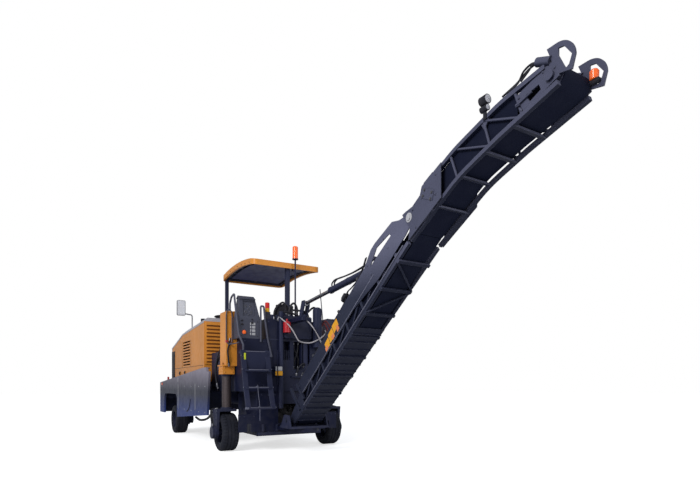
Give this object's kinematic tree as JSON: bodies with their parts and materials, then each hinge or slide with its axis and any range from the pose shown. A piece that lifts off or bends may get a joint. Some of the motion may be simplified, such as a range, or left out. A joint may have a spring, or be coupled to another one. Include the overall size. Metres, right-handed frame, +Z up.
{
  "type": "cold planer milling machine",
  "caption": "Wheeled road milling machine with a toothed drum between its rear wheels and a slewing, lifting and folding rear loading conveyor.",
  "frame": {"origin": "on the ground, midway along the machine's whole length and on its centre line", "axes": "+X forward, +Y to the driver's left, +Z up"},
  "size_m": [11.3899, 2.48, 3.782],
  "materials": {
    "yellow_paint": "satin warm yellow paint",
    "slate_paint": "satin slate grey paint",
    "dark_paint": "satin dark charcoal paint",
    "grey_paint": "satin mid grey paint",
    "red_paint": "gloss red paint",
    "ram_steel": "dusty ground steel",
    "rod_chrome": "hard chrome",
    "cast_drum": "worn cast steel",
    "tyre_rubber": "matt black solid rubber",
    "belt_rubber": "matt black belt",
    "seat_vinyl": "black vinyl",
    "amber_lens": "amber lens",
    "black_plastic": "black moulding"
  },
  "bodies": {
    "machine": {"chassis": "slate_paint", "drum_housing": "dark_paint", "front_axle": "dark_paint", "skirt_left": "slate_paint", "skirt_right": "slate_paint", "engine_block": "grey_paint", "column_housings": "yellow_paint", "column_rams": "ram_steel", "wheel_forks": "dark_paint", "platform": "dark_paint", "rear_cabinet": "dark_paint", "seat": "seat_vinyl", "console": "black_plastic", "ladder": "dark_paint", "handrails": "dark_paint", "canopy_roof": "yellow_paint", "canopy_frame": "dark_paint", "beacon": "amber_lens", "signal_lamp": "red_paint", "canisters": "dark_paint", "extinguisher": "red_paint"},
    "hood": {"hood_shell": "yellow_paint", "hood_cover": "grey_paint", "air_intake": "black_plastic", "mirrors": "dark_paint"},
    "left_knuckle_body": {"left_knuckle": "dark_paint"},
    "right_knuckle_body": {"right_knuckle": "dark_paint"},
    "drum": {"milling_drum": "cast_drum"},
    "slew": {"slew_yoke": "dark_paint"},
    "conveyor_lower": {"lower_frame": "grey_paint", "lower_belt": "belt_rubber"},
    "conveyor_upper": {"upper_frame": "grey_paint", "upper_belt": "belt_rubber", "conveyor_lamps": "black_plastic"},
    "barrel": {"lift_barrel": "dark_paint"},
    "rod": {"lift_rod": "rod_chrome"},
    "rear_left_wheel": {"rear_left_tyre": "tyre_rubber", "rear_left_rim": "grey_paint"},
    "rear_right_wheel": {"rear_right_tyre": "tyre_rubber", "rear_right_rim": "grey_paint"},
    "front_left_wheel": {"front_left_tyre": "tyre_rubber", "front_left_rim": "grey_paint"},
    "front_right_wheel": {"front_right_tyre": "tyre_rubber", "front_right_rim": "grey_paint"}
  },
  "joints": [
    {"name": "hood_tilt", "type": "hinge", "parent": "machine", "child": "hood", "pos_m": [4.92, 0, 1.245], "axis": [0, 1, 0], "range_deg": [0, 35]},
    {"name": "steer_left", "type": "hinge", "parent": "machine", "child": "left_knuckle_body", "pos_m": [4.292, 0.66, 0.325], "axis": [0, 0, 1], "range_deg": [-30, 30]},
    {"name": "steer_right", "type": "hinge", "parent": "machine", "child": "right_knuckle_body", "pos_m": [4.292, -0.66, 0.325], "axis": [0, 0, 1], "range_deg": [-30, 30]},
    {"name": "front_left_spin", "type": "hinge", "parent": "left_knuckle_body", "child": "front_left_wheel", "pos_m": [4.292, 0.942, 0.325], "axis": [0, 1, 0], "continuous": true},
    {"name": "front_right_spin", "type": "hinge", "parent": "right_knuckle_body", "child": "front_right_wheel", "pos_m": [4.292, -0.942, 0.325], "axis": [0, 1, 0], "continuous": true},
    {"name": "rear_left_spin", "type": "hinge", "parent": "machine", "child": "rear_left_wheel", "pos_m": [0.475, 0.985, 0.325], "axis": [0, 1, 0], "continuous": true},
    {"name": "rear_right_spin", "type": "hinge", "parent": "machine", "child": "rear_right_wheel", "pos_m": [0.475, -0.985, 0.325], "axis": [0, 1, 0], "continuous": true},
    {"name": "drum_spin", "type": "hinge", "parent": "machine", "child": "drum", "pos_m": [0.495, 0, 0.59], "axis": [0, 1, 0], "continuous": true},
    {"name": "conveyor_slew", "type": "hinge", "parent": "machine", "child": "slew", "pos_m": [-0.525, 0, 0.42], "axis": [0, 0, 1], "range_deg": [-40, 40]},
    {"name": "conveyor_lift", "type": "hinge", "parent": "slew", "child": "conveyor_lower", "pos_m": [-0.60216, 0, 0.5564], "axis": [0, 1, 0], "range_deg": [-12, 4]},
    {"name": "conveyor_fold", "type": "hinge", "parent": "conveyor_lower", "child": "conveyor_upper", "pos_m": [-3.70988, 0, 2.93789], "axis": [0, 1, 0], "range_deg": [0, 100]},
    {"name": "barrel_pivot", "type": "hinge", "parent": "conveyor_lower", "child": "barrel", "pos_m": [-2.96248, 0, 2.66681], "axis": [0, 1, 0], "range_deg": [-2, 2]},
    {"name": "rod_slide", "type": "slide", "parent": "barrel", "child": "rod", "axis": [0.9961, 0, -0.0878], "range_m": [-0.15, 0.42]}
  ],
  "couplings": [
    {"joint": "steer_right", "follows": "steer_left", "ratio": 1},
    {"joint": "barrel_pivot", "follows": "conveyor_lift", "ratio": 0.0179},
    {"joint": "rod_slide", "follows": "conveyor_lift", "m_per_rad": -1.896}
  ]
}
